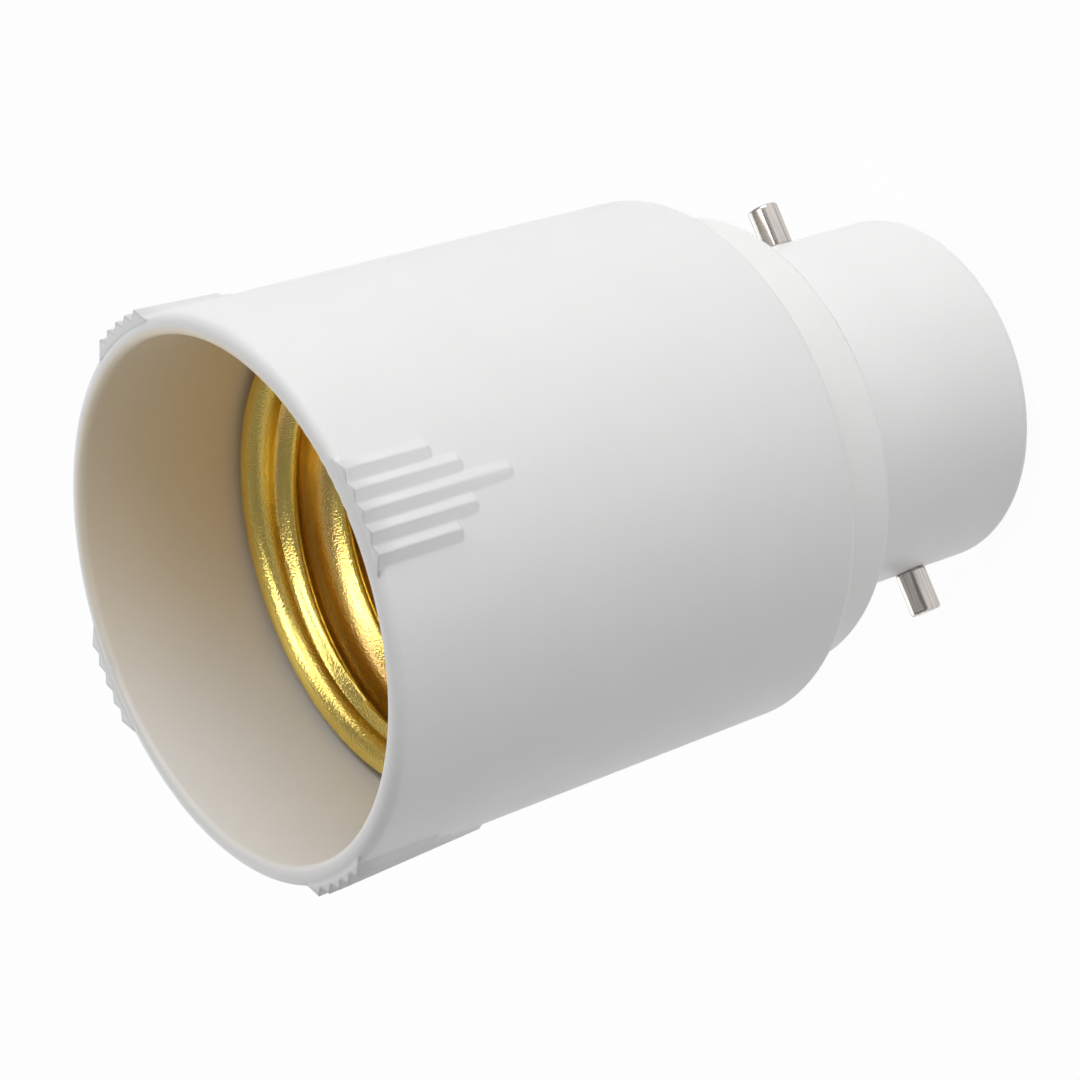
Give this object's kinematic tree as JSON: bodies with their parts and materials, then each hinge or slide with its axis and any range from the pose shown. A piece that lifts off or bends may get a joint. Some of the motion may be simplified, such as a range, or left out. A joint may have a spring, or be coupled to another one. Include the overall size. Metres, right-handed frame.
{
  "type": "lamp socket adapter",
  "caption": "White moulded adapter that plugs into a bayonet lampholder by its pinned cap and takes a screw-cap lamp in the brass shell inside its ribbed skirt.",
  "frame": {"origin": "on the axis of the adapter, in the plane of the two end contacts that it stands on", "axes": "+Z along the axis out of the screw lampholder's mouth; the bayonet pins lie along X and the end contacts along Y"},
  "size_m": [0.0344, 0.0344, 0.053],
  "materials": {
    "white_moulding": "satin moulded white",
    "nickel_steel": "polished nickel plate",
    "sheet_brass": "bright drawn sheet",
    "insulating_disc": "matt moulded off-white",
    "spring_brass": "rolled spring strip",
    "turned_brass": "bright",
    "zinc_steel": "zinc plate",
    "lead_sleeve": "insulated wire"
  },
  "bodies": {
    "adapter": {"outer_shell": "white_moulding", "cap_base": "white_moulding", "bayonet_pin_1": "nickel_steel", "bayonet_pin_2": "nickel_steel", "screw_shell": "sheet_brass", "socket_floor": "insulating_disc", "centre_rivet": "turned_brass", "shell_screw_1": "zinc_steel", "shell_screw_2": "zinc_steel", "live_tag": "turned_brass", "neutral_tag": "turned_brass", "live_lead": "lead_sleeve", "neutral_lead": "lead_sleeve", "end_contact_1": "turned_brass", "end_contact_2": "turned_brass"},
    "contact_leaf": {"centre_contact": "spring_brass"}
  },
  "joints": [
    {"name": "contact_press", "type": "hinge", "parent": "adapter", "child": "contact_leaf", "pos_m": [0, -0.0043, 0.02425], "axis": [-1, 0, 0], "range_deg": [0, 8], "stiffness_Nm_per_rad": 0.12}
  ]
}
